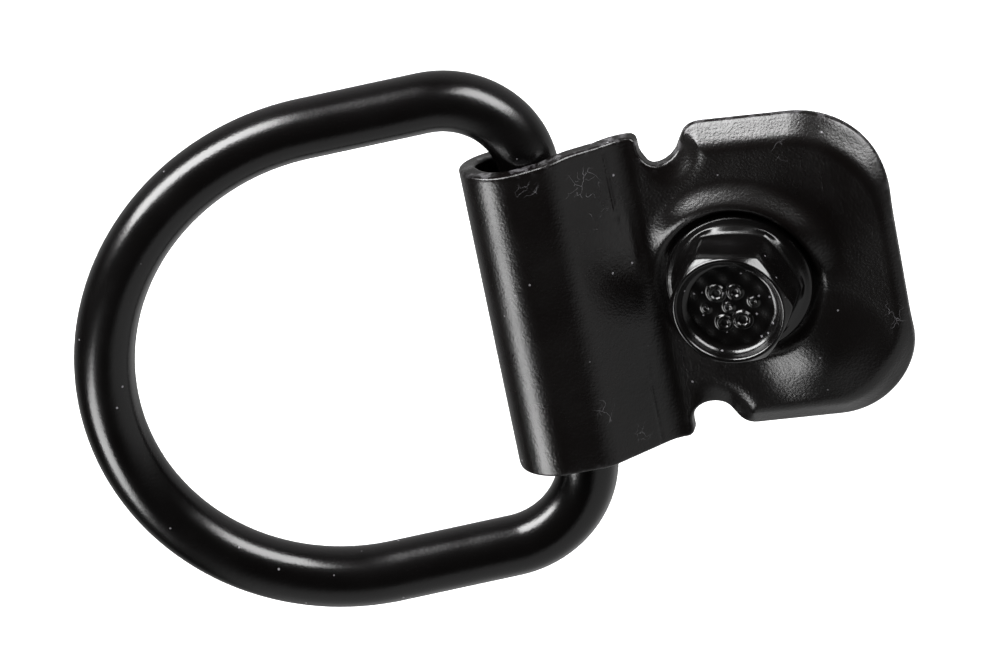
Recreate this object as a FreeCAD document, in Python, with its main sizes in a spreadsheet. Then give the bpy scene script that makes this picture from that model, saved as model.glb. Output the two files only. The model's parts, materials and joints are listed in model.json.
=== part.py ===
"""Bolt-on D-ring anchor: a bent-rod D-ring in the rolled eye of a pressed bracket, with its flange bolt.

Frame, in millimetres: the origin is on the bolt's axis, in the plane that the bracket is bolted to.
+X runs from the ring's leg to the free end of the plate, +Z stands away from the mounting surface.
"""
import FreeCAD, Part
import math
import os
import re
import Sketcher
from FreeCAD import Placement, Rotation, Vector

doc = FreeCAD.newDocument("DRingAnchor")

# ---------------------------------------------------------------- driving dimensions
SIZES = {
    # the ring
    "RodRound": 4.0,            # radius of the rod
    "RingHalfWidth": 32.1,      # from the ring's centre line to the middle of its side
    "RingLegBend": 11.8,        # bends at the two ends of the straight leg
    "RingSide": 15.8,           # straight part of each side
    "RingRaise": 15.0,          # degrees above the mounting plane, at rest
    # the pressed sheet
    "SheetThick": 2.2,
    "HalfWidth": 21.3,
    "LegFromBolt": 24.2,
    "LegHeight": 6.5,           # the leg's axis above the mounting plane
    # the rolled eye, measured from the ring's leg
    "EyeBore": 4.45,            # inner radius of the roll
    "EyeShift": 2.35,           # the roll's centre lies this far beyond the leg
    "EyeTopSlope": 8.0,
    "CrestBend": 5.0,
    "CrestFromLeg": 1.85,
    "RampSlope": 42.0,
    "FootBend": 4.0,
    "TailFromLeg": 2.2,         # where the strap ends, under the leg
    "TailTaper": 1.5,           # the strap narrows by this much on each side towards its end
    "TaperTop": 10.0,
    # the plate
    "PlateEnd": 21.3,
    "PlateCorner": 12.0,
    "PlateTop": 5.0,
    "RimRound": 2.4,
    "NotchFromBolt": 7.3,
    "NotchRound": 2.7,
    "NotchFloor": 16.8,
    "NotchSlant": 25.0,
    "NotchLip": 2.6,
    # the seat pressed round the bolt
    "HoleRound": 5.5,
    "SeatTop": 4.4,
    "SeatRound": 10.3,
    "RidgeRound": 12.3,
    "RidgeTop": 6.2,
    "RidgeFoot": 15.2,
    "RidgeLeft": 12.6,          # the ridge runs into the ramp at this distance from the bolt
    # the flange bolt
    "ShankRound": 5.0,
    "ShankNeck": 4.5,           # plain neck under the flange, inside the plate's hole
    "NeckLength": 3.8,
    "ShankLength": 25.0,
    "ShankPoint": 1.2,
    "FlangeRound": 9.7,
    "FlangeEdge": 1.4,
    "FlangeNeck": 7.9,
    "FlangeRise": 1.1,
    "HeadFlats": 15.0,
    "HeadHeight": 9.6,
    "CrownRound": 7.1,          # where the head's chamfer starts
    "CrownDrop": 1.4,
    "CupRound": 5.9,
    "CupFloorRound": 5.2,
    "CupDepth": 1.5,
    "HeadTurn": 54.0,
    # construction
    "Joint": 0.5,               # overlap where the plate and the strap are one sheet
    "Past": 1.0,                # cuts run this far past a face
    "Reach": 30.0,              # and blocks that cut a whole side away are this long
}

sizes = doc.addObject("Spreadsheet::Sheet", "Sizes")
for row, (alias, value) in enumerate(SIZES.items(), start=1):
    sizes.set(f"A{row}", alias)
    sizes.set(f"B{row}", str(value))
    sizes.setAlias(f"B{row}", alias)
doc.recompute()


def bound(formula):
    """The formula with every alias written as a reference to the spreadsheet."""
    return re.sub(r"\b[A-Z]\w*", lambda name: "Sizes." + name.group(), formula)


def value_of(formula):
    return float(sizes.evalExpression(bound(formula)))


def bind(obj, **formulas):
    """Set the properties of an object from spreadsheet formulas."""
    for prop, formula in formulas.items():
        obj.setExpression(prop.replace("_", "."), bound(formula))


# ---------------------------------------------------------------- sketches
START, END, CENTRE = 1, 2, 3
ORIGIN = (-1, 1)
LEFT, RIGHT = 1, -1
LEVEL, UPRIGHT, SIDEWAYS = "XY_Plane", "XZ_Plane", "YZ_Plane"
TURNED = {
    LEVEL: Rotation(),
    UPRIGHT: Rotation(Vector(1, 0, 0), 90),         # sketch x, y become X, Z
    SIDEWAYS: Rotation(Vector(1, 1, 1), 120),       # sketch x, y become Y, Z
}


def corner(x, y):
    return (x, y, "0", 0)


def bend(x, y, radius, turn):
    return (x, y, radius, turn)


def new_sketch(name, where=LEVEL, body=None):
    if body is None:
        sketch = doc.addObject("Sketcher::SketchObject", name)
        sketch.Placement = Placement(Vector(), TURNED[where])
        return sketch
    sketch = body.newObject("Sketcher::SketchObject", name)
    datum = next(item for item in body.Origin.OriginFeatures if item.Role == where)
    sketch.AttachmentSupport = [(datum, "")]
    sketch.MapMode = "FlatFace"
    return sketch


def dimension(sketch, kind, *where, formula):
    index = sketch.addConstraint(Sketcher.Constraint(kind, *where, value_of(formula)))
    sketch.setExpression(f"Constraints[{index}]", bound(formula))


def trace(sketch, nodes):
    """Draw a closed outline of straight lines between corners and tangent bends, fully dimensioned.

    Each line leaves one node and meets the next. A bend's centre is to the LEFT or RIGHT of the travel.
    """
    count = len(nodes)
    middles = [Vector(value_of(x), value_of(y), 0) for x, y, _, _ in nodes]
    signed = [value_of(radius) * turn for _, _, radius, turn in nodes]
    normals = []
    for i in range(count):
        step = middles[(i + 1) % count] - middles[i]
        heading = math.atan2(step.y, step.x) - math.asin((signed[(i + 1) % count] - signed[i]) / step.Length)
        normals.append(Vector(-math.sin(heading), math.cos(heading), 0))
    lines = [sketch.addGeometry(Part.LineSegment(middles[i] - normals[i] * signed[i],
                                                 middles[(i + 1) % count] - normals[i] * signed[(i + 1) % count]))
             for i in range(count)]
    for i, (x, y, radius, turn) in enumerate(nodes):
        before, after = lines[i - 1], lines[i]
        if not turn:
            sketch.addConstraint(Sketcher.Constraint("Coincident", before, END, after, START))
            spot = (after, START)
        else:
            angles = [math.atan2(-turn * normal.y, -turn * normal.x) for normal in (normals[i - 1], normals[i])]
            begin, finish = angles if turn == LEFT else angles[::-1]
            while finish < begin:
                finish += 2 * math.pi
            circle = Part.Circle(middles[i], Vector(0, 0, 1), abs(signed[i]))
            arc = sketch.addGeometry(Part.ArcOfCircle(circle, begin, finish))
            meets, leaves = (START, END) if turn == LEFT else (END, START)
            sketch.addConstraint(Sketcher.Constraint("Tangent", before, END, arc, meets))
            sketch.addConstraint(Sketcher.Constraint("Tangent", arc, leaves, after, START))
            dimension(sketch, "Radius", arc, formula=radius)
            spot = (arc, CENTRE)
        dimension(sketch, "DistanceX", *ORIGIN, *spot, formula=x)
        dimension(sketch, "DistanceY", *ORIGIN, *spot, formula=y)
    return sketch


def ring_of(sketch, radius, x="0", y="0"):
    """A full circle."""
    middle = Vector(value_of(x), value_of(y), 0)
    circle = sketch.addGeometry(Part.Circle(middle, Vector(0, 0, 1), value_of(radius)))
    dimension(sketch, "Radius", circle, formula=radius)
    dimension(sketch, "DistanceX", *ORIGIN, circle, CENTRE, formula=x)
    dimension(sketch, "DistanceY", *ORIGIN, circle, CENTRE, formula=y)
    return sketch


# ---------------------------------------------------------------- solids from sketches
def part(kind, name, **links):
    obj = doc.addObject(kind, name)
    for prop, item in links.items():
        setattr(obj, prop, item)
    return obj


def raised(name, base, height):
    """A sketch in the XY plane, extruded upwards."""
    solid = part("Part::Extrusion", name, Base=base, DirMode="Custom", Dir=Vector(0, 0, 1), Solid=True)
    bind(solid, LengthFwd=height)
    return solid


def turned(name, base):
    """A sketch in the XZ plane, revolved about the Z axis."""
    return part("Part::Revolution", name, Source=base, Axis=Vector(0, 0, 1), Base=Vector(), Angle=360, Solid=True)


def fused(name, *pieces):
    return part("Part::MultiFuse", name, Shapes=list(pieces), Refine=True)


def cut(name, base, *tools):
    for number, tool in enumerate(tools, start=1):
        base = part("Part::Cut", f"{name}{number}", Base=base, Tool=tool, Refine=True)
    return base


# ---------------------------------------------------------------- the ring
def make_ring():
    """A closed D of round rod. The ring's own frame has the leg along Y and the ring towards -X."""
    body = doc.addObject("PartDesign::Body", "DRing")
    path = trace(new_sketch("RingPath", LEVEL, body), [
        corner("0", "0"),
        bend("-RingLegBend", "RingHalfWidth - RingLegBend", "RingLegBend", LEFT),
        bend("-RingLegBend - RingSide", "0", "RingHalfWidth", LEFT),
        bend("-RingLegBend", "RingLegBend - RingHalfWidth", "RingLegBend", LEFT),
    ])
    section = ring_of(new_sketch("RodSection", UPRIGHT, body), "RodRound")
    doc.recompute()
    sweep = body.newObject("PartDesign::AdditivePipe", "Rod")
    sweep.Profile = section
    sweep.Spine = (path, [f"Edge{n + 1}" for n in range(path.GeometryCount)])
    sweep.Transition = "Transformed"
    body.Placement = Placement(Vector(), Rotation(Vector(0, 1, 0), value_of("RingRaise")))
    bind(body, Placement_Base_x="-LegFromBolt", Placement_Base_z="LegHeight", Placement_Rotation_Angle="RingRaise")
    return body


# ---------------------------------------------------------------- the bracket
EYE_X = "-LegFromBolt - EyeShift"
EYE_Z = "SheetThick + EyeBore"
CREST_X = "-LegFromBolt + CrestFromLeg"
CREST_Z = (f"{EYE_Z} + (EyeBore + SheetThick - CrestBend"
           " - sin(EyeTopSlope) * (CrestFromLeg + EyeShift)) / cos(EyeTopSlope)")
FOOT_Z = "PlateTop + FootBend"
FOOT_X = f"{CREST_X} + (CrestBend + FootBend + cos(RampSlope) * ({CREST_Z} - ({FOOT_Z}))) / sin(RampSlope)"
NOTCH_X = "-NotchFromBolt"
STEM_X = f"{NOTCH_X} - Joint"
NOTCH_Y = "NotchFloor + NotchRound"
LIP_X = (f"{NOTCH_X} + (NotchLip + NotchRound - ({NOTCH_Y} - HalfWidth + NotchLip) * sin(NotchSlant))"
         " / cos(NotchSlant)")
TOUCH = 0.01                    # how near, in mm, counts as the same level


def make_strap():
    """The side view of the sheet: plate, ramp, and the eye rolled over, round and under the leg."""
    nodes = [
        corner(NOTCH_X, "PlateTop"),
        bend(FOOT_X, FOOT_Z, "FootBend", RIGHT),
        bend(CREST_X, CREST_Z, "CrestBend", LEFT),
        bend(EYE_X, EYE_Z, "EyeBore + SheetThick", LEFT),
        corner("-LegFromBolt + TailFromLeg", "0"),
        corner("-LegFromBolt + TailFromLeg", "SheetThick"),
        bend(EYE_X, EYE_Z, "EyeBore", RIGHT),
        bend(CREST_X, CREST_Z, "CrestBend - SheetThick", RIGHT),
        bend(FOOT_X, FOOT_Z, "FootBend + SheetThick", LEFT),
        corner(NOTCH_X, "PlateTop - SheetThick"),
    ]
    profile = trace(new_sketch("StrapProfile", UPRIGHT), nodes)
    strap = part("Part::Extrusion", "Strap", Base=profile, DirMode="Custom", Dir=Vector(0, 1, 0), Solid=True)
    bind(strap, LengthFwd="HalfWidth", LengthRev="HalfWidth")
    tools = []
    for name, side in (("Left", ""), ("Right", "-")):
        tapered = trace(new_sketch(f"Taper{name}", SIDEWAYS), [
            corner(f"{side}HalfWidth", "TaperTop"),
            corner(f"{side}(HalfWidth - TailTaper)", "0"),
            corner(f"{side}(HalfWidth - TailTaper)", "-Past"),
            corner(f"{side}(HalfWidth + Past)", "-Past"),
            corner(f"{side}(HalfWidth + Past)", "TaperTop"),
        ])
        wedge = part("Part::Extrusion", f"TaperCut{name}", Base=tapered, DirMode="Custom",
                     Dir=Vector(-1, 0, 0), Solid=True)
        bind(wedge, LengthFwd="LegFromBolt + Reach", LengthRev="TailFromLeg - LegFromBolt")
        round_end = part("Part::Cylinder", f"NotchEnd{name}")
        bind(round_end, Radius="NotchRound", Height="Reach", Placement_Base_x=NOTCH_X,
             Placement_Base_y=f"{side}({NOTCH_Y})")
        mouth = part("Part::Box", f"NotchMouth{name}")
        bind(mouth, Length="Reach", Width="Reach", Height="Reach", Placement_Base_x=f"{NOTCH_X} - NotchRound",
             Placement_Base_y=f"-({NOTCH_Y}) - Reach" if side else NOTCH_Y)
        tools += [wedge, round_end, mouth]
    return cut("StrapCut", strap, *tools)


def make_pan():
    """The plate, with its rim turned down all round as far as the two notches."""
    def half(sign):
        return [
            corner(STEM_X, f"{sign}NotchFloor"),
            bend(NOTCH_X, f"{sign}({NOTCH_Y})", "NotchRound", RIGHT),
            bend(LIP_X, f"{sign}(HalfWidth - NotchLip)", "NotchLip", LEFT),
            bend("PlateEnd - PlateCorner", f"{sign}(HalfWidth - PlateCorner)", "PlateCorner", LEFT),
        ]
    outline = trace(new_sketch("PlateOutline"), half("-") + half("")[::-1])
    block = raised("PlateBlock", outline, "PlateTop")
    doc.recompute()
    top, stem, round_rim = value_of("PlateTop"), value_of(STEM_X), value_of("RimRound")
    rim = part("Part::Fillet", "PlateRim", Base=block)
    rim.Edges = [(number, round_rim, round_rim) for number, edge in enumerate(block.Shape.Edges, start=1)
                 if edge.BoundBox.ZMin > top - TOUCH and edge.BoundBox.XMax > stem + TOUCH]
    inside = part("Part::Offset2D", "PlateInside", Source=outline, Join="Arc")
    bind(inside, Value="-SheetThick")
    hollow = raised("PlateHollow", inside, "PlateTop - SheetThick")
    doorway = part("Part::Box", "PlateDoorway")
    bind(doorway, Length="SheetThick + Past", Width="2 * (NotchFloor - SheetThick)",
         Height="PlateTop - SheetThick", Placement_Base_x=STEM_X, Placement_Base_y="SheetThick - NotchFloor")
    return cut("Pan", rim, hollow, doorway)


def make_bracket():
    """One sheet: strap and pan joined, with a seat pressed down inside a raised ridge round the bolt."""
    ridge = trace(new_sketch("RidgeProfile", UPRIGHT), [
        corner("HoleRound", "SeatTop - SheetThick"),
        corner("SeatRound", "SeatTop - SheetThick"),
        corner("RidgeRound", "RidgeTop - SheetThick"),
        corner("RidgeFoot", "PlateTop - SheetThick"),
        corner("RidgeFoot", "PlateTop"),
        corner("RidgeRound", "RidgeTop"),
        corner("SeatRound", "SeatTop"),
        corner("HoleRound", "SeatTop"),
    ])
    above = trace(new_sketch("AboveSeat", UPRIGHT), [
        corner("0", "SeatTop"),
        corner("SeatRound", "SeatTop"),
        corner("RidgeRound", "RidgeTop"),
        corner("RidgeRound", "Reach"),
        corner("0", "Reach"),
    ])
    below = trace(new_sketch("BelowSeat", UPRIGHT), [
        corner("0", "-Past"),
        corner("RidgeFoot", "-Past"),
        corner("RidgeFoot", "PlateTop - SheetThick"),
        corner("RidgeRound", "RidgeTop - SheetThick"),
        corner("SeatRound", "SeatTop - SheetThick"),
        corner("0", "SeatTop - SheetThick"),
    ])
    ramp_side = part("Part::Box", "RampSide")
    bind(ramp_side, Length="Reach", Width="2 * Reach", Height="Reach",
         Placement_Base_x="-RidgeLeft - Reach", Placement_Base_y="-Reach")
    hole = part("Part::Cylinder", "BoltHole")
    bind(hole, Radius="HoleRound", Height="Reach")
    ridge_part = cut("RidgePart", turned("Ridge", ridge), ramp_side)
    below_part = cut("BelowPart", turned("Below", below), ramp_side)
    above_solid = turned("Above", above)
    sheet = fused("Sheet", make_strap(), make_pan())
    sheet = cut("SheetCut", sheet, above_solid, below_part)
    sheet = fused("SheetRidged", sheet, ridge_part)
    return cut("Bracket", sheet, hole)


# ---------------------------------------------------------------- the bolt
CORNER_ROUND = "HeadFlats / (2 * cos(30))"      # from the bolt's axis to a corner of the hexagon


def make_bolt():
    """A hexagon flange bolt with a cup in the top of its head. Its own origin is where the flange sits."""
    body = doc.addObject("PartDesign::Body", "FlangeBolt")
    turned_profile = trace(new_sketch("ShankProfile", UPRIGHT, body), [
        corner("0", "-ShankLength"),
        corner("ShankRound - ShankPoint", "-ShankLength"),
        corner("ShankRound", "ShankPoint - ShankLength"),
        corner("ShankRound", "-NeckLength"),
        corner("ShankNeck", "-NeckLength"),
        corner("ShankNeck", "0"),
        corner("FlangeRound", "0"),
        corner("FlangeRound", "FlangeEdge"),
        corner("FlangeNeck", "FlangeEdge + FlangeRise"),
        corner("0", "FlangeEdge + FlangeRise"),
    ])
    turn_axis = next(item for item in body.Origin.OriginFeatures if item.Role == "Z_Axis")
    shank = body.newObject("PartDesign::Revolution", "Shank")
    shank.Profile = turned_profile
    shank.ReferenceAxis = (turn_axis, [""])
    shank.Angle = 360

    corners = [(f"{CORNER_ROUND} * cos({60 * side} + HeadTurn)", f"{CORNER_ROUND} * sin({60 * side} + HeadTurn)")
               for side in range(6)]
    hexagon = trace(new_sketch("HeadHexagon", LEVEL, body), [corner(x, y) for x, y in corners])
    head = body.newObject("PartDesign::Pad", "Head")
    head.Profile = hexagon
    bind(head, Length="HeadHeight")

    crown = trace(new_sketch("CrownProfile", UPRIGHT, body), [
        corner("CrownRound", "HeadHeight"),
        corner(f"{CORNER_ROUND} + Past", f"HeadHeight - CrownDrop * (1 + Past / ({CORNER_ROUND} - CrownRound))"),
        corner(f"{CORNER_ROUND} + Past", "HeadHeight + Past"),
        corner("CrownRound", "HeadHeight + Past"),
    ])
    chamfer = body.newObject("PartDesign::Groove", "Crown")
    chamfer.Profile = crown
    chamfer.ReferenceAxis = (turn_axis, [""])
    chamfer.Angle = 360

    cup = trace(new_sketch("CupProfile", UPRIGHT, body), [
        corner("0", "HeadHeight - CupDepth"),
        corner("CupFloorRound", "HeadHeight - CupDepth"),
        corner("CupRound", "HeadHeight"),
        corner("CupRound", "HeadHeight + Past"),
        corner("0", "HeadHeight + Past"),
    ])
    dimple = body.newObject("PartDesign::Groove", "Cup")
    dimple.Profile = cup
    dimple.ReferenceAxis = (turn_axis, [""])
    dimple.Angle = 360
    bind(body, Placement_Base_z="SeatTop")
    return body


# ---------------------------------------------------------------- build, check and write
PIECES = {"d_ring": make_ring(), "bracket": make_bracket(), "flange_bolt": make_bolt()}
for label, piece in PIECES.items():
    piece.Label = label
doc.recompute()

failed = [item.Name for item in doc.Objects if {"Invalid", "Error"} & set(item.State)]
if failed:
    raise SystemExit(f"failed features: {failed}")
os.makedirs("parts", exist_ok=True)
for label, piece in PIECES.items():
    shape = piece.Shape
    if shape.isNull() or not shape.isValid() or len(shape.Solids) != 1:
        raise SystemExit(f"{label} is not one valid solid")
    box = shape.BoundBox
    print(f"{label}: {shape.Volume:.0f} mm3, X {box.XMin:.2f} {box.XMax:.2f}, "
          f"Y {box.YMin:.2f} {box.YMax:.2f}, Z {box.ZMin:.2f} {box.ZMax:.2f}")
    shape.exportStep(f"parts/{label}.step")
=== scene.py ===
"""Studio view of a bolt-on D-ring anchor: the bent-rod ring, the pressed bracket and its flange bolt.

Lengths in the tables below are millimetres in the part's own frame: the origin is on the bolt's axis in the
mounting plane, +X runs from the ring's leg to the free end of the plate, and +Z stands away from the surface.
"""
import json
import math

import bpy
import numpy as np
from mathutils import Matrix, Vector
from mathutils.geometry import delaunay_2d_cdt


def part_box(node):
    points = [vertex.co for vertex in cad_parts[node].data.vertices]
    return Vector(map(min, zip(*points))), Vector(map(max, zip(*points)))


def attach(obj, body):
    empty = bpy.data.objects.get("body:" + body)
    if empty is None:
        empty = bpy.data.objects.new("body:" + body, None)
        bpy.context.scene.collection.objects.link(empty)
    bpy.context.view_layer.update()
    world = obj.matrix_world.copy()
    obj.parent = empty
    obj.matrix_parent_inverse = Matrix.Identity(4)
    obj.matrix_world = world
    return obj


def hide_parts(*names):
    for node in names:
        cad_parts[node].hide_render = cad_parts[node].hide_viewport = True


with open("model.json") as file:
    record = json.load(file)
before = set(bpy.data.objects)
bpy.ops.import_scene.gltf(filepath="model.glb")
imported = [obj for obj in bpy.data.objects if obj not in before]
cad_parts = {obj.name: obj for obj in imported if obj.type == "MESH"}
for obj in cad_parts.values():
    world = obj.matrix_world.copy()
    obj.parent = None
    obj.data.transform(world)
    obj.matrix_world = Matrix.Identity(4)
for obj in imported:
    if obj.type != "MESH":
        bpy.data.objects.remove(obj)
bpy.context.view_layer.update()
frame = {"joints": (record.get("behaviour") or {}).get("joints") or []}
MM = 0.001
TURN = 2 * math.pi

# ---------------------------------------------------------------- sizes, from the frame
RING_JOINT = next(joint for joint in frame["joints"] if joint["name"] == "ring_swing")
LEG_X, _, LEG_Z = (value / MM for value in RING_JOINT["pos_m"])
BRACKET_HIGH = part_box("bracket")[1] / MM
BOLT_LOW, BOLT_HIGH = (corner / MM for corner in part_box("flange_bolt"))
HALF_WIDTH = BRACKET_HIGH.y
PLATE_END = BRACKET_HIGH.x

# the ring
ROD_ROUND = 4.0
RING_HALF_WIDTH = 32.1
RING_LEG_BEND = 11.8
RING_SIDE = 15.8
RING_RAISE = math.radians(15)

# the pressed sheet
SHEET = 2.2
PLATE_TOP = 5.0
EYE_ROUND = 6.65
EYE_X = LEG_X - 2.35
CREST_X = LEG_X + 1.85
CREST_ROUND = 5.0
FOOT_ROUND = 4.0
EYE_TOP_SLOPE = math.radians(11)
RAMP_SLOPE = math.radians(42)
TAIL_X = LEG_X + 2.2
TAIL_TAPER = 1.5
TAPER_TOP = 10.0
CUT_ROUND = 0.4                 # how far the cut edges are rounded over
RIM_SLOPE = math.radians(43)
RIM_RUN = 2.25                  # plan width of the straight part of the turned-down rim
RIM_ROUND = 2.6
NOTCH = Vector((-7.3, 19.5))
NOTCH_ROUND = 2.7
NOTCH_SLANT = math.radians(25)
LIP_ROUND = 2.6
PLATE_CORNER = 12.0
HOLE_ROUND = 5.5
PLATE_SPREAD = 0.35             # the turned-down rim stands this far outside the strap's edge
SPREAD_FROM, SPREAD_TO = -9.5, -5.0
TOP_SPREAD = 0.65               # the +Y half of the sheet is this much wider
END_LEAN = 0.55                 # the plate's end runs this far out on the +Y side, and in on the other
CREST_SPREAD = 0.75             # the strap's +Y edge bulges this far over the crest
CREST_SPREAD_AT = -20.5
CREST_SPREAD_REACH = 5.0
RIM_FROM, RIM_TO = -9.5, -1.5   # the rim turns down over this stretch
FLAT_END = 2.0                  # the rim is this much shallower in plan in the middle of the plate's end
FLAT_END_ALONG = (14, 19)
FLAT_END_ACROSS = (6, 17)
SEAT_TOP = 4.4
SEAT_ROUND = 9.75
SEAT_FOOT = 11.3
SHOULDER_RISE = 1.9             # raised shoulder on the +Y side of the seat
SHOULDER_ROUND = 10.4
SHOULDER_FOOT = 14.2
SHOULDER_HEADING = (0.26, 0.966)
SHOULDER_FADE = (0.1, 0.9)
MOUND_RISE = 1.55               # a soft swell of the plate on the -Y side
MOUND_AT = (9.3, -11.3)
MOUND_ROUND = 9.5
PRESSED_ROUND = 18.4            # the pressing ends within this distance of the bolt
CREASE_ALONG = -14.5            # fine crease across the foot of the ramp, on both sides of the middle
CREASE_DEPTH = 0.10
CREASE_WIDTH = 0.16
CREASE_FADE = (2.0, 9.0)
# patches of hairline scratches: distance along the sheet, distance across it, reach
SCUFFS = ((-18.5, 16.5, 3.2), (-17.0, 12.0, 2.2), (-21.5, -13.5, 2.0), (-17.0, -18.3, 1.6), (18.6, -7.0, 2.4),
          (-26.0, 18.5, 1.8), (9.0, 17.0, 1.8))
SCUFF_CORE = 0.6                # the share of its reach over which a patch is at full strength
WEAR_REACH = 0.25               # how far wear runs in from a cut edge

# spacing of the sheet's mesh
CUT_LOOPS = (0.06, 0.16, 0.28, 0.4)
RIM_LOOPS = (0.75, 1.15, 1.55, 1.95, 2.3, 2.6, 2.9, 3.2, 3.5, 3.8, 4.2)
CREASE_ROWS = (-0.45, -0.3, -0.15, 0.0, 0.15, 0.3, 0.45)
GRID_ALONG, GRID_ACROSS = 0.55, 0.85
GRID_MARGIN = 0.7
RIM_MARGIN, STRAP_MARGIN = 4.5, 0.95    # the grid keeps this far inside the outline
RIM_LOOPS_FROM = -9             # the plate's side of this is meshed with loops along the rim
WALL_STEP = 0.12
NUDGE = 0.02                    # for the slopes of the surface

# the flange bolt
HEAD_TOP = BOLT_HIGH.z
HEAD_TURN = math.radians(54)
HEX_HALF = 7.5
HEX_CORNER = 8.42               # the corners are rounded off at this distance from the axis
HEX_BLEND = 12.0                # how sharply the flats and the corner rounding meet
THREAD_ROUND = 5.0
THREAD_DEPTH = 0.8
THREAD_PITCH = 1.5
NECK_ROUND = 4.5
NECK_END = 0.6
TIP_ROUND = 3.9
THREAD_START = 0.4              # the thread begins this far above the tip
THREAD_STEP = 0.12              # height between the thread's rings
FLANGE_ROUND = BOLT_HIGH.x
# distance from the axis and height above the seat, from the neck to the root of the hexagon
FLANGE_PROFILE = (
    (FLANGE_ROUND - 0.5, 0), (FLANGE_ROUND - 0.12, 0.12), (FLANGE_ROUND, 0.45), (FLANGE_ROUND, 0.9),
    (FLANGE_ROUND - 0.12, 1.2), (FLANGE_ROUND - 0.4, 1.4), (FLANGE_ROUND - 0.8, 1.5), (9.0 - 0.45, 1.75),
)
# growth of the hexagon and height above the seat, where it runs out into the flange
HEX_FILLET = ((0.55, 2.0), (0.2, 2.25), (0.04, 2.6), (0.0, 3.0))
FILLET_TOP = 3.0
HEX_RISE = ((0.35, 0.0), (0.75, 0.0), (0.94, 0.0), (1.0, 0.06))     # share of the height, inset
CHAMFER_SHARES = (0.15, 0.5, 0.85)
CHAMFER_INSET = 0.06
CROWN_ROUND = 7.5               # the chamfer meets the crown at this distance from the axis
CROWN_DROP = 0.22
CHAMFER_DROP = 0.25
# distance from the axis and depth below the head's top, over the crown and down the cup's wall
CUP_PROFILE = (
    (7.48, 0.18), (7.38, 0.05), (7.25, 0.0), (7.1, 0.02), (6.95, 0.12), (6.85, 0.3), (6.7, 0.8), (6.5, 1.2),
    (6.2, 1.5), (5.9, 1.65),
)
CUP_DEPTH = 1.75
CUP_FLOOR_ROUND = 5.7
CUP_FLOOR_STEP = 0.16
BUTTON_WIDTH = 0.24
# the bolt's cup, where the grey specks are denser: partly dirt, partly painted glints for the highlights on
# its bubbly floor
DUST_GLINT_ROUND, DUST_GLINT_DEPTH = 6.5, 2.2
# raised rings on the cup's floor: centre x and y, radius, height
CUP_BUTTONS = (
    (-1.6, 2.1, 0.95, 0.38), (0.9, 2.0, 0.8, 0.34), (-0.3, -0.1, 0.5, 0.3), (1.2, -2.0, 1.0, 0.38),
    (-1.3, -2.2, 0.85, 0.34), (3.1, 0.3, 0.45, 0.26), (-3.3, 0.0, 0.4, 0.22),
)


# ---------------------------------------------------------------- mesh helpers
def new_object(name, points, faces, body, slot, *nodes):
    """A mesh object in metres from millimetre points. It rides on a body and stands for the CAD nodes."""
    mesh = bpy.data.meshes.new(name)
    mesh.from_pydata([tuple(value * MM for value in point) for point in points], [], faces)
    mesh.validate()
    mesh.update()
    mesh.polygons.foreach_set("use_smooth", [True] * len(mesh.polygons))
    obj = bpy.data.objects.new(name, mesh)
    bpy.context.scene.collection.objects.link(obj)
    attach(obj, body)
    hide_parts(*nodes)
    return obj


def set_attribute(obj, name, values):
    """A number at each point of the mesh, for the material to read."""
    layer = obj.data.attributes.new(name, "FLOAT", "POINT")
    layer.data.foreach_set("value", np.asarray(values, np.float32))


def loft(rings, closed=False):
    """Faces between consecutive rings of equally many points, numbered ring by ring."""
    count, width = len(rings), len(rings[0])
    faces = []
    for i in range(count if closed else count - 1):
        near, far = i * width, (i + 1) % count * width
        faces += [(near + k, near + (k + 1) % width, far + (k + 1) % width, far + k) for k in range(width)]
    return faces


def smoothstep(low, high, value):
    t = np.clip((value - low) / (high - low), 0, 1)
    return t * t * (3 - 2 * t)


def outline(nodes, inset=0.0, step=0.4):
    """Points round a closed outline of circles joined by tangent lines, moved inwards by inset.

    A node is (x, y, radius, side): side 1 for a corner that bulges outwards, -1 for one that cuts in.
    """
    count = len(nodes)
    middles = [Vector(node[:2]) for node in nodes]
    signed = [radius * side - inset for _, _, radius, side in nodes]
    normals = []
    for i in range(count):
        gap = middles[(i + 1) % count] - middles[i]
        heading = math.atan2(gap.y, gap.x) - math.asin((signed[(i + 1) % count] - signed[i]) / gap.length)
        normals.append(Vector((-math.sin(heading), math.cos(heading))))
    points = []
    for i, (_, _, radius, side) in enumerate(nodes):
        begin, end = (math.atan2(-normal.y, -normal.x) for normal in (normals[i - 1], normals[i]))
        sweep = side * (side * (end - begin) % TURN)
        pieces = max(3, math.ceil(abs(sweep) * radius / step))
        for k in range(pieces + 1):
            angle = begin + sweep * k / pieces
            points.append(middles[i] + Vector((math.cos(angle), math.sin(angle))) * signed[i])
        start = points[-1]
        finish = middles[(i + 1) % count] - normals[i] * signed[(i + 1) % count]
        length = (finish - start).length
        runs = max(1, round(length / step))
        points += [start.lerp(finish, k / runs) for k in range(1, runs)]
    return points


# ---------------------------------------------------------------- the ring
def ring_path():
    """Centre points and outward directions round the D, in its own plane: x away from the leg, y along it."""
    nodes = [
        (RING_LEG_BEND, RING_LEG_BEND - RING_HALF_WIDTH, RING_LEG_BEND, 1),
        (RING_LEG_BEND + RING_SIDE, 0, RING_HALF_WIDTH, 1),
        (RING_LEG_BEND, RING_HALF_WIDTH - RING_LEG_BEND, RING_LEG_BEND, 1),
    ]
    return outline(nodes, step=0.7), outline(nodes, inset=-1.0, step=0.7)


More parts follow.
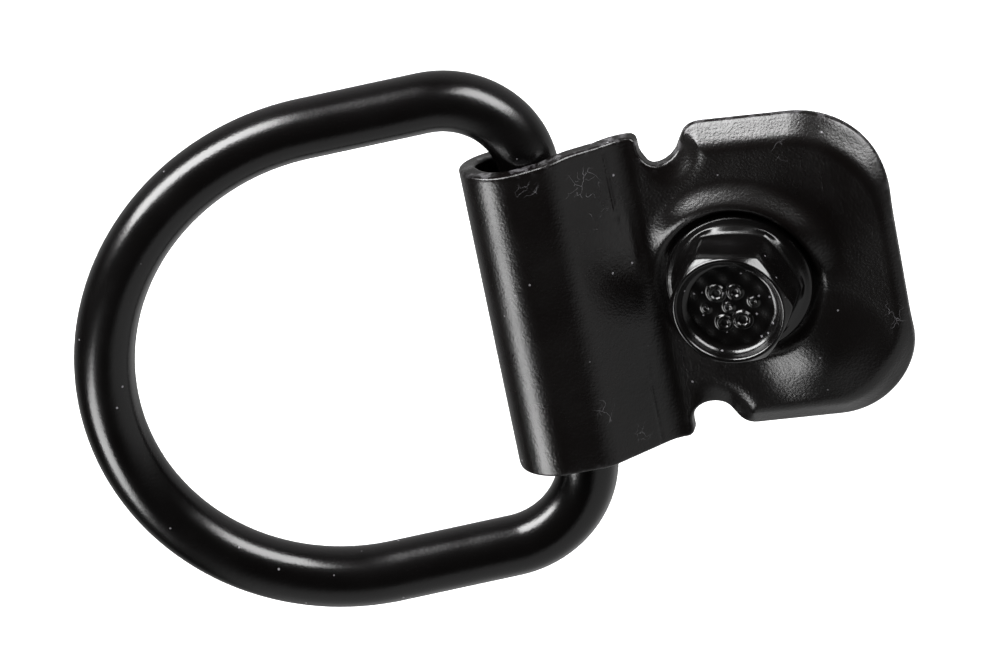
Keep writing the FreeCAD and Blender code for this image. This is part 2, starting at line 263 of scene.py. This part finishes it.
def make_ring(around=56):
    middle, outer = ring_path()
    along_x = Vector((-math.cos(RING_RAISE), 0, math.sin(RING_RAISE)))
    across = Vector((math.sin(RING_RAISE), 0, math.cos(RING_RAISE)))
    origin = Vector((LEG_X, 0, LEG_Z))
    rings = []
    for point, beyond in zip(middle, outer):
        centre = origin + along_x * point.x + Vector((0, point.y, 0))
        out = (along_x * (beyond - point).x + Vector((0, (beyond - point).y, 0))).normalized()
        rings.append([centre + (out * math.cos(TURN * k / around) + across * math.sin(TURN * k / around))
                      * ROD_ROUND for k in range(around)])
    points = [point for ring in rings for point in ring]
    return new_object("d_ring_rod", points, loft(rings, closed=True), "ring", "ring_coat", "d_ring")


# ---------------------------------------------------------------- the bracket
def tangent_runs():
    """The foot's x, and (length, curvature) of each run of the outer line from there to the tail."""
    eye_z = EYE_ROUND
    crest_rise = EYE_ROUND - CREST_ROUND - math.sin(EYE_TOP_SLOPE) * (CREST_X - EYE_X)
    crest_z = eye_z + crest_rise / math.cos(EYE_TOP_SLOPE)
    foot_z = PLATE_TOP + FOOT_ROUND
    foot_run = CREST_ROUND + FOOT_ROUND + math.cos(RAMP_SLOPE) * (crest_z - foot_z)
    foot_x = CREST_X + foot_run / math.sin(RAMP_SLOPE)
    ramp = math.sqrt((foot_x - CREST_X) ** 2 + (foot_z - crest_z) ** 2 - (CREST_ROUND + FOOT_ROUND) ** 2)
    top = math.sqrt((CREST_X - EYE_X) ** 2 + (crest_z - eye_z) ** 2 - (EYE_ROUND - CREST_ROUND) ** 2)
    runs = [
        (FOOT_ROUND * RAMP_SLOPE, -1 / FOOT_ROUND),
        (ramp, 0),
        (CREST_ROUND * (RAMP_SLOPE - EYE_TOP_SLOPE), 1 / CREST_ROUND),
        (top, 0),
        (EYE_ROUND * (math.pi + EYE_TOP_SLOPE), 1 / EYE_ROUND),
        (TAIL_X - EYE_X, 0),
    ]
    return foot_x, runs


FOOT_X, RUNS = tangent_runs()
STRAP_LENGTH = sum(length for length, _ in RUNS)
EYE_START = sum(length for length, _ in RUNS[:4])


def side_view(along):
    """Outer surface in side view at distances along the sheet: arrays x, z and the outward normal.

    along equals x on the plate, and goes on down by true length over the ramp and round the eye.
    """
    along = np.asarray(along, float)
    x, z = along.copy(), np.full_like(along, PLATE_TOP)
    nx, nz = np.zeros_like(along), np.ones_like(along)
    begin, px, pz, heading = 0.0, FOOT_X, PLATE_TOP, math.pi
    for number, (length, curve) in enumerate(RUNS):
        travelled = FOOT_X - along - begin
        last = number == len(RUNS) - 1
        here = (travelled > 0) if last else (travelled > 0) & (travelled <= length)
        angle = heading + curve * travelled
        if curve:
            gx, gz = (np.sin(angle) - math.sin(heading)) / curve, (math.cos(heading) - np.cos(angle)) / curve
        else:
            gx, gz = math.cos(heading) * travelled, math.sin(heading) * travelled
        x[here], z[here] = (px + gx)[here], (pz + gz)[here]
        nx[here], nz[here] = np.sin(angle)[here], -np.cos(angle)[here]
        end = heading + curve * length
        if curve:
            px += (math.sin(end) - math.sin(heading)) / curve
            pz += (math.cos(heading) - math.cos(end)) / curve
        else:
            px += math.cos(heading) * length
            pz += math.sin(heading) * length
        heading, begin = end, begin + length
    return x, z, nx, nz


def blank_nodes():
    """The sheet's outline: strap end, two notches and the rounded plate."""
    end_round, neck_round = 0.8, 1.0
    strap_end = FOOT_X - STRAP_LENGTH
    lip_run = LIP_ROUND + NOTCH_ROUND - (NOTCH.y - HALF_WIDTH + LIP_ROUND) * math.sin(NOTCH_SLANT)
    lip_x = NOTCH.x + lip_run / math.cos(NOTCH_SLANT)
    lower = [
        (strap_end + end_round, -(HALF_WIDTH - end_round), end_round, 1),
        (NOTCH.x - NOTCH_ROUND - neck_round, -(HALF_WIDTH - neck_round), neck_round, 1),
        (NOTCH.x, -NOTCH.y, NOTCH_ROUND, -1),
        (lip_x, -(HALF_WIDTH - LIP_ROUND), LIP_ROUND, 1),
        (PLATE_END - PLATE_CORNER, -(HALF_WIDTH - PLATE_CORNER), PLATE_CORNER, 1),
    ]
    upper = [(x, -y, radius, side) for x, y, radius, side in reversed(lower)]
    return lower + upper


def distance_inside(points, border):
    """How far each point is inside the closed border, negative outside."""
    a = np.array(border)
    b = np.roll(a, -1, axis=0)
    p = np.array(points)
    best = np.full(len(p), 1e9)
    inside = np.zeros(len(p), bool)
    for (ax, ay), (bx, by) in zip(a, b):
        ex, ey = bx - ax, by - ay
        t = np.clip(((p[:, 0] - ax) * ex + (p[:, 1] - ay) * ey) / max(ex * ex + ey * ey, 1e-12), 0, 1)
        best = np.minimum(best, np.hypot(p[:, 0] - ax - t * ex, p[:, 1] - ay - t * ey))
        crosses = ((ay > p[:, 1]) != (by > p[:, 1]))
        if ey:
            inside ^= crosses & (p[:, 0] < ax + (p[:, 1] - ay) * ex / ey)
    return np.where(inside, best, -best)


def rim_drop(depth, share):
    """How far the rim is turned down at a plan distance from the edge. share fades the turn out."""
    slope = np.tan(RIM_SLOPE)
    bend_run = RIM_ROUND * math.sin(RIM_SLOPE)
    bend_drop = RIM_ROUND * (1 - math.cos(RIM_SLOPE))
    into = np.clip(RIM_RUN + bend_run - depth, 0, bend_run)
    bend = RIM_ROUND - np.sqrt(RIM_ROUND ** 2 - into ** 2)
    straight = np.clip(RIM_RUN - depth, 0, None) * slope
    return share * (np.where(depth < RIM_RUN, bend_drop, bend) + straight)


def seat_shape(x, y):
    """Height of the pressed seat and the soft swells about it, above the plate's top."""
    radius = np.maximum(np.hypot(x, y), 1e-6)
    upper = smoothstep(*SHOULDER_FADE, (SHOULDER_HEADING[0] * x + SHOULDER_HEADING[1] * y) / radius)
    seat = (SEAT_TOP - PLATE_TOP) * (1 - smoothstep(SEAT_ROUND, SEAT_FOOT, radius))
    shoulder = SHOULDER_RISE * smoothstep(SEAT_ROUND, SHOULDER_ROUND, radius) * (
        1 - smoothstep(SHOULDER_ROUND, SHOULDER_FOOT, radius))
    mound = MOUND_RISE * smoothstep(SEAT_ROUND, SEAT_FOOT, radius) * (
        1 - smoothstep(0, MOUND_ROUND, np.hypot(x - MOUND_AT[0], y - MOUND_AT[1])))
    return seat + upper * shoulder + mound


def sheet_top(along, across, border):
    """Points of the sheet's outer surface, and how far inside the blank's outline each one is."""
    along, across = np.asarray(along, float), np.asarray(across, float)
    x, z, nx, nz = side_view(along)
    depth = distance_inside(np.column_stack([along, across]), border)
    share = smoothstep(RIM_FROM, RIM_TO, along)
    crease = -CREASE_DEPTH * np.exp(-((along - CREASE_ALONG) / CREASE_WIDTH) ** 2)
    crease *= smoothstep(*CREASE_FADE, np.abs(across))
    flat_end = FLAT_END * smoothstep(*FLAT_END_ALONG, along)
    flat_end *= 1 - smoothstep(*FLAT_END_ACROSS, np.abs(across))
    height = seat_shape(along, across) - rim_drop(np.maximum(depth, 0) + flat_end, share) + crease
    on_eye = FOOT_X - along > EYE_START
    narrow = np.where(on_eye, np.clip((TAPER_TOP - z) / TAPER_TOP, 0, 1) * TAIL_TAPER, 0)
    top_side = smoothstep(0, HALF_WIDTH, across)
    bulge = CREST_SPREAD * np.exp(-((along - CREST_SPREAD_AT) / CREST_SPREAD_REACH) ** 2) * top_side
    spread = smoothstep(SPREAD_FROM, SPREAD_TO, along) * PLATE_SPREAD
    y = across * (1 + (spread - narrow) / HALF_WIDTH) + bulge + TOP_SPREAD * top_side
    x = x + spread * np.clip(x, 0, None) / PLATE_END
    x = x + END_LEAN * across / HALF_WIDTH * smoothstep(0, PLATE_END, along)
    return np.column_stack([x + nx * height, y, z + nz * height]), depth


def circle(radius, count):
    """Points round the bolt's axis, in plan."""
    return [Vector((math.cos(TURN * k / count), math.sin(TURN * k / count))) * radius for k in range(count)]


def sheet_points(nodes, border):
    """Points to mesh the blank with: outline loops, rings round the bolt, and a grid elsewhere."""
    hole = circle(HOLE_ROUND, 96)
    fixed = outline(nodes) + hole
    loose = []
    for inset in CUT_LOOPS + RIM_LOOPS:
        loop = outline(nodes, inset)
        kept = distance_inside(loop, border) > inset - 0.02
        loose += [point for point, keep in zip(loop, kept) if keep]
    for inset in CUT_LOOPS:
        loose += [point * (1 + inset / HOLE_ROUND) for point in hole]
    radius = HOLE_ROUND + 0.8
    rings = []
    while radius < PRESSED_ROUND:
        rings += circle(radius, round(TURN * radius / 0.5))
        radius += 0.4
    for offset in CREASE_ROWS:
        column = CREASE_ALONG + offset
        rings += [Vector((column, row)) for row in np.arange(-HALF_WIDTH + GRID_MARGIN, HALF_WIDTH, 0.5)
                  if math.hypot(column, row) > radius + 0.3]
    grid = []
    for column in np.arange(FOOT_X - STRAP_LENGTH + GRID_MARGIN, PLATE_END, GRID_ALONG):
        grid += [Vector((column, row)) for row in np.arange(-HALF_WIDTH + GRID_MARGIN, HALF_WIDTH, GRID_ACROSS)
                 if math.hypot(column, row) > PRESSED_ROUND + 0.2 and abs(column - CREASE_ALONG) > 0.6]
    inner = rings + grid
    inside = distance_inside(inner, border)
    loose += [point for point, depth in zip(inner, inside)
              if depth > (RIM_MARGIN if point.x > RIM_LOOPS_FROM else STRAP_MARGIN)]
    return fixed, loose, len(hole)


def make_bracket():
    nodes = blank_nodes()
    border = outline(nodes)
    fixed, loose, hole_count = sheet_points(nodes, border)
    rim_count = len(fixed) - hole_count
    loops = [(0, rim_count), (rim_count, len(fixed))]
    edges = [(k, k + 1 if k + 1 < last else first) for first, last in loops for k in range(first, last)]
    flat, _, triangles, origin, _, _ = delaunay_2d_cdt(fixed + loose, edges, [], 1, 1e-4, True)
    flat = np.array([tuple(point) for point in flat])
    middles = flat[np.array(triangles)].mean(axis=1)
    keep = (np.hypot(middles[:, 0], middles[:, 1]) > HOLE_ROUND) & (distance_inside(middles, border) > 0)
    triangles = [tuple(face) for face, kept in zip(triangles, keep) if kept]

    top, depth = sheet_top(flat[:, 0], flat[:, 1], border)
    x, y = flat[:, 0], flat[:, 1]
    along = sheet_top(x + NUDGE, y, border)[0] - sheet_top(x - NUDGE, y, border)[0]
    across = sheet_top(x, y + NUDGE, border)[0] - sheet_top(x, y - NUDGE, border)[0]
    normal = np.cross(along, across)
    normal /= np.linalg.norm(normal, axis=1)[:, None]

    edge = np.minimum(depth, np.hypot(x, y) - HOLE_ROUND)
    short = np.clip(CUT_ROUND - edge, 0, CUT_ROUND)
    lip = (CUT_ROUND - np.sqrt(CUT_ROUND ** 2 - short ** 2))[:, None]
    upper = top - normal * lip
    lower = top - normal * (SHEET - lip)

    count = len(flat)
    new_index = {}
    for index, sources in enumerate(origin):
        for source in sources:
            new_index[source] = index
    walls, wall_points = [], []
    levels = (CUT_ROUND + WALL_STEP, SHEET / 2, SHEET - CUT_ROUND - WALL_STEP)
    for first, last in loops:
        loop = [new_index[k] for k in range(first, last)]
        rows = [loop]
        for level in levels:
            rows.append([2 * count + len(wall_points) + k for k in range(len(loop))])
            wall_points += [top[index] - normal[index] * level for index in loop]
        rows.append([index + count for index in loop])
        for row, below in zip(rows, rows[1:]):
            for k in range(len(loop)):
                after = (k + 1) % len(loop)
                walls.append((row[k], below[k], below[after], row[after]))
    faces = triangles + [tuple(index + count for index in reversed(face)) for face in triangles] + walls
    points = np.vstack([upper, lower, np.array(wall_points)])
    bracket = new_object("bracket_sheet", points.tolist(), faces, "bracket", "bracket_coat", "bracket")
    near_edge = np.exp(-np.maximum(edge, 0) / WEAR_REACH)
    set_attribute(bracket, "edge", np.concatenate([near_edge, near_edge, np.ones(len(wall_points))]))
    scuff = np.zeros(count)
    for place_along, place_across, reach in SCUFFS:
        gap = np.hypot(x - place_along, y - place_across)
        scuff = np.maximum(scuff, 1 - smoothstep(SCUFF_CORE * reach, reach, gap))
    set_attribute(bracket, "scuff", np.concatenate([scuff, np.zeros(count + len(wall_points))]))
    return bracket


# ---------------------------------------------------------------- the flange bolt
def hex_round(angle):
    """Distance from the axis to the side of the hexagon, with its corners rounded off."""
    off = (angle - HEAD_TURN) % (TURN / 6) - TURN / 12
    flat = HEX_HALF / math.cos(off)
    return (flat ** -HEX_BLEND + HEX_CORNER ** -HEX_BLEND) ** (-1 / HEX_BLEND) * (1 + 1 / HEX_BLEND * 0.35)


def cup_relief(x, y):
    """Generic forging relief in the cup: a ring of raised buttons about a small one, and a worn floor."""
    relief = 0.05 * math.sin(2.1 * x + 0.7) * math.cos(1.7 * y - 0.4)
    for px, py, size, height in CUP_BUTTONS:
        gap = math.hypot(x - px, y - py) - size
        relief += height * math.exp(-(gap / BUTTON_WIDTH) ** 2)
    return relief


def thread_round(angle, z, low):
    """Distance from the axis to the helical thread, which starts at the tip and runs out below the neck."""
    start = min(1.0, (z - low) / 1.6)
    run_out = min(1.0, (NECK_END - z) / 0.8)
    phase = (z / THREAD_PITCH - angle / TURN) % 1
    tooth = min(1.0, max(0.0, abs(2 * phase - 1) * 1.35 - 0.18))
    radius = min(THREAD_ROUND - THREAD_DEPTH * (1 - tooth), TIP_ROUND + 1.2 * start)
    if radius > NECK_ROUND or run_out < 1:
        radius = NECK_ROUND + (radius - NECK_ROUND) * run_out
    return radius


def make_bolt(around=192):
    angles = [TURN * k / around for k in range(around)]
    rings = []

    def turn(radius, z):
        rings.append([(radius * math.cos(angle), radius * math.sin(angle), z) for angle in angles])

    def shape(radii, heights):
        rings.append([(radius * math.cos(angle), radius * math.sin(angle), z)
                      for radius, z, angle in zip(radii, heights, angles)])

    low, seat = BOLT_LOW.z, SEAT_TOP
    turn(0.3, low)
    turn(3.2, low)
    turn(TIP_ROUND, low + 0.15)
    length = NECK_END - low - THREAD_START
    rows = round(length / THREAD_STEP)
    for row in range(rows + 1):
        z = low + THREAD_START + length * row / rows
        shape([thread_round(angle, z, low) for angle in angles], [z] * around)
    for radius, z in ((NECK_ROUND, NECK_END + 0.3), (NECK_ROUND, seat - 0.3), (NECK_ROUND + 0.3, seat)):
        turn(radius, z)
    for radius, rise in FLANGE_PROFILE:
        turn(radius, seat + rise)

    hexagon = [hex_round(angle) for angle in angles]
    for fillet, rise in HEX_FILLET:
        shape([side + fillet for side in hexagon], [seat + rise] * around)
    chamfer = [HEAD_TOP - CHAMFER_DROP - (side - CROWN_ROUND) for side in hexagon]
    for share, inset in HEX_RISE:
        shape([side - inset for side in hexagon],
              [seat + FILLET_TOP + (top - seat - FILLET_TOP) * share for top in chamfer])
    chamfer = [HEAD_TOP - CROWN_DROP - (side - CROWN_ROUND) for side in hexagon]
    for share in CHAMFER_SHARES:
        shape([side - CHAMFER_INSET + (CROWN_ROUND - (side - CHAMFER_INSET)) * share for side in hexagon],
              [top + (HEAD_TOP - CROWN_DROP - top) * share for top in chamfer])
    for radius, drop in CUP_PROFILE:
        turn(radius, HEAD_TOP - drop)
    radius = CUP_FLOOR_ROUND
    while radius > 0.2:
        floor = [cup_relief(radius * math.cos(angle), radius * math.sin(angle)) for angle in angles]
        shape([radius] * around, [HEAD_TOP - CUP_DEPTH + relief for relief in floor])
        radius -= CUP_FLOOR_STEP

    points = [point for ring in rings for point in ring]
    faces = loft(rings)
    faces.append(tuple(reversed(range(around))))
    faces.append(tuple(len(points) - around + k for k in range(around)))
    bolt = new_object("flange_bolt_forged", points, faces, "bolt", "bolt_coat", "flange_bolt")
    # marks the bolt's cup for denser grey specks, partly dirt and partly painted glints
    set_attribute(bolt, "dust_and_glints", [math.hypot(x, y) < DUST_GLINT_ROUND and z > HEAD_TOP - DUST_GLINT_DEPTH
                                 for x, y, z in points])
    return bolt


# ---------------------------------------------------------------- materials
PEEL_HEIGHT = 0.00006           # metres
SCRATCH_STRENGTH = 0.4
# grey of the specks, scratches and worn edges, and of the painted glints in the bolt's cup
SPECK_AND_GLINT_GREY = (0.17, 0.165, 0.175)


def node_tree(name):
    material = bpy.data.materials.new(name)
    material.use_nodes = True
    tree = material.node_tree
    return material, tree, tree.nodes["Principled BSDF"]


def add(tree, kind, inputs=None, **settings):
    node = tree.nodes.new(kind)
    for key, value in settings.items():
        setattr(node, key, value)
    for key, value in (inputs or {}).items():
        if isinstance(value, bpy.types.NodeSocket):
            tree.links.new(value, node.inputs[key])
        else:
            node.inputs[key].default_value = value
    return node


def math_node(tree, operation, first, second):
    return add(tree, "ShaderNodeMath", {0: first, 1: second}, operation=operation).outputs[0]


def remap(tree, value, from_min, from_max, to_min=0.0, to_max=1.0, **settings):
    return add(tree, "ShaderNodeMapRange", {"Value": value, "From Min": from_min, "From Max": from_max,
                                            "To Min": to_min, "To Max": to_max}, **settings).outputs[0]


def noise(tree, place, scale, detail):
    return add(tree, "ShaderNodeTexNoise", {"Vector": place, "Scale": scale, "Detail": detail}).outputs


def line_pattern(tree, place, scale, wander, width, rarity, seed):
    """Hairline squiggles: the borders of warped cells, kept only here and there."""
    shift = noise(tree, place, scale * 0.9, 3.0)["Color"]
    push = add(tree, "ShaderNodeVectorMath", {0: shift, "Scale": wander}, operation="SCALE").outputs[0]
    moved = add(tree, "ShaderNodeVectorMath", {0: place, 1: push}, operation="ADD").outputs[0]
    away = add(tree, "ShaderNodeVectorMath", {0: moved, 1: (seed, seed, seed)}, operation="ADD").outputs[0]
    cells = add(tree, "ShaderNodeTexVoronoi", {"Vector": away, "Scale": scale}, feature="DISTANCE_TO_EDGE")
    line = remap(tree, cells.outputs["Distance"], width * 0.4, width, 1.0, 0.0)
    kept = remap(tree, noise(tree, away, scale * 0.8, 1.0)["Fac"], rarity, rarity + 0.04)
    return math_node(tree, "MULTIPLY", line, kept)


def black_coat(name, tint, roughness, grain, specks, extra=None):
    """Black electro-coat with orange-peel grain, uneven gloss and dust specks.

    extra adds what the mesh's attributes place: "edge" for worn edges and scratches, "dust" for denser grey
    specks in the bolt's cup, which are partly dirt and partly painted glints.
    """
    material, tree, shader = node_tree(name)
    place = add(tree, "ShaderNodeTexCoord").outputs["Object"]
    peel, waves = noise(tree, place, 3000.0, 3.0)["Fac"], noise(tree, place, 420.0, 2.0)["Fac"]
    height = math_node(tree, "ADD", peel, waves)
    bump = add(tree, "ShaderNodeBump", {"Height": height, "Strength": grain, "Distance": PEEL_HEIGHT})
    tree.links.new(bump.outputs["Normal"], shader.inputs["Normal"])
    drift = noise(tree, place, 90.0, 4.0)["Fac"]
    rough = remap(tree, drift, 0.3, 0.7, roughness - 0.04, roughness + 0.05)
    tree.links.new(rough, shader.inputs["Roughness"])

    cells = add(tree, "ShaderNodeTexVoronoi", {"Vector": place, "Scale": 900.0})
    speck_and_glint_dots = remap(tree, cells.outputs["Distance"], 0.10, 0.17, 1.0, 0.0)
    chance = add(tree, "ShaderNodeSeparateColor", {"Color": cells.outputs["Color"]}).outputs["Red"]
    speck_and_glint_limit = 1.0 - specks
    # in the bolt's cup half the cells get a grey speck: partly dirt, partly painted glints
    if extra == "dust_and_glints":
        dust_and_glint_share = add(tree, "ShaderNodeAttribute", attribute_name="dust_and_glints").outputs["Fac"]
        speck_and_glint_limit = remap(tree, dust_and_glint_share, 0.0, 1.0, 1.0 - specks, 0.5)
    marks_and_glints = math_node(tree, "MULTIPLY", speck_and_glint_dots, math_node(tree, "GREATER_THAN", chance, speck_and_glint_limit))
    if extra == "edge":
        scuff = add(tree, "ShaderNodeAttribute", attribute_name="scuff").outputs["Fac"]
        long_lines = line_pattern(tree, place, 260.0, 0.005, 0.014, 0.50, 0.31)
        short_lines = line_pattern(tree, place, 480.0, 0.004, 0.018, 0.52, 0.77)
        lines = math_node(tree, "MULTIPLY", math_node(tree, "MAXIMUM", long_lines, short_lines), scuff)
        marks_and_glints = math_node(tree, "MAXIMUM", marks_and_glints, math_node(tree, "MULTIPLY", lines, SCRATCH_STRENGTH))
        edge = add(tree, "ShaderNodeAttribute", attribute_name="edge").outputs["Fac"]
        worn = remap(tree, noise(tree, place, 700.0, 3.0)["Fac"], 0.52, 0.66, 0.0, 0.35)
        marks_and_glints = math_node(tree, "MAXIMUM", marks_and_glints, math_node(tree, "MULTIPLY", edge, worn))
    colour = add(tree, "ShaderNodeMix", {"Factor": marks_and_glints}, data_type="RGBA")
    colour.inputs["A"].default_value = (*tint, 1)
    colour.inputs["B"].default_value = (*SPECK_AND_GLINT_GREY, 1)
    tree.links.new(colour.outputs["Result"], shader.inputs["Base Color"])
    return material


# ---------------------------------------------------------------- the studio
RIGHT = Vector((0.9689, -0.188, -0.1607))
UP = Vector((0.1023, 0.896, -0.4318))
AIM = Vector((-31.8, -1.76, 9.25)) * MM
VIEW_WIDTH = 130.2 * MM
CAMERA_REACH = 3.5
SENSOR_WIDTH = 36
LIGHT_REACH = 0.6
LIGHT_AIM = Vector((-0.02, 0, 0.005))
FLOOR_HALF = 3.0
FLOOR_GAP = 0.2                 # millimetres below the bolt's tip
GREY_SIDE = (0.5, -0.866, 0.0)
# azimuth and elevation in degrees, width and height in metres, power in watts
SOFTBOXES = (
    ("right_box", 40, 14, 0.40, 0.30, 5.0),
    ("back_box", 122, 20, 0.60, 0.28, 10.5),
    ("left_box", -147, 36, 0.28, 0.26, 2.4),
)


def make_camera():
    right = RIGHT.normalized()
    up = (UP - right * UP.dot(right)).normalized()
    back = right.cross(up)
    data = bpy.data.cameras.new("camera")
    camera = bpy.data.objects.new("camera", data)
    bpy.context.scene.collection.objects.link(camera)
    facing = Matrix((right, up, back)).transposed().to_4x4()
    camera.matrix_world = Matrix.Translation(AIM + back * CAMERA_REACH) @ facing
    data.sensor_width = SENSOR_WIDTH
    data.lens = data.sensor_width * CAMERA_REACH / VIEW_WIDTH
    data.clip_start, data.clip_end = 0.05, 30
    bpy.context.scene.camera = camera


def make_softbox(name, azimuth, elevation, width, height, power):
    """An area light that faces the part. Azimuth is in degrees from +X towards +Y."""
    a, e = math.radians(azimuth), math.radians(elevation)
    away = Vector((math.cos(a) * math.cos(e), math.sin(a) * math.cos(e), math.sin(e)))
    data = bpy.data.lights.new(name, "AREA")
    data.shape = "RECTANGLE"
    data.size, data.size_y, data.energy = width, height, power
    light = bpy.data.objects.new(name, data)
    bpy.context.scene.collection.objects.link(light)
    light.location = LIGHT_AIM + away * LIGHT_REACH
    light.rotation_euler = away.to_track_quat("Z", "Y").to_euler()


def make_surroundings():
    """A dim room: grey below and on the side behind the camera's left, dark overhead."""
    world = bpy.data.worlds.new("studio")
    world.use_nodes = True
    tree = world.node_tree
    toward = add(tree, "ShaderNodeTexCoord").outputs["Generated"]
    split = add(tree, "ShaderNodeSeparateXYZ", {"Vector": toward})
    below = remap(tree, split.outputs["Z"], 0.0, -0.8, 0.012, 0.38, interpolation_type="SMOOTHSTEP")
    facing = add(tree, "ShaderNodeVectorMath", {0: toward, 1: GREY_SIDE}, operation="DOT_PRODUCT")
    side = remap(tree, facing.outputs["Value"], 0.50, 0.72, 0.0, 0.50, interpolation_type="SMOOTHSTEP")
    glow = math_node(tree, "ADD", below, side)
    tree.links.new(glow, tree.nodes["Background"].inputs["Color"])
    bpy.context.scene.world = world


def make_floor():
    """A pale floor just under the bolt's tip. The camera sees it; the gloss mirrors the dim room instead."""
    material, tree, shader = node_tree("studio_floor")
    place = add(tree, "ShaderNodeTexCoord").outputs["Object"]
    mottle = add(tree, "ShaderNodeTexNoise", {"Vector": place, "Scale": 30.0})
    paper = remap(tree, mottle.outputs["Fac"], 0.0, 1.0, 0.78, 0.82)
    tree.links.new(paper, shader.inputs["Base Color"])
    shader.inputs["Roughness"].default_value = 0.9
    shader.inputs["Emission Color"].default_value = (1, 1, 1, 1)
    shader.inputs["Emission Strength"].default_value = 0.85
    mesh = bpy.data.meshes.new("floor")
    half, level = FLOOR_HALF, (BOLT_LOW.z - FLOOR_GAP) * MM
    mesh.from_pydata([(-half, -half, level), (half, -half, level), (half, half, level), (-half, half, level)],
                     [], [(0, 1, 2, 3)])
    floor = bpy.data.objects.new("floor", mesh)
    mesh.materials.append(material)
    bpy.context.scene.collection.objects.link(floor)
    floor.visible_glossy = False


def make_studio():
    make_floor()
    make_surroundings()
    for softbox in SOFTBOXES:
        make_softbox(*softbox)
    bpy.context.scene.view_settings.view_transform = "Standard"


# ---------------------------------------------------------------- put it together
ring_coat = black_coat("ring_coat_black", (0.0013, 0.0011, 0.0011), 0.20, 0.25, 0.02)
bracket_coat = black_coat("bracket_coat_black", (0.0016, 0.0011, 0.0010), 0.26, 0.62, 0.03, "edge")
bolt_coat = black_coat("bolt_coat_black", (0.0014, 0.0012, 0.0012), 0.20, 0.22, 0.03, "dust_and_glints")

make_ring().data.materials.append(ring_coat)
make_bracket().data.materials.append(bracket_coat)
make_bolt().data.materials.append(bolt_coat)
make_camera()
make_studio()
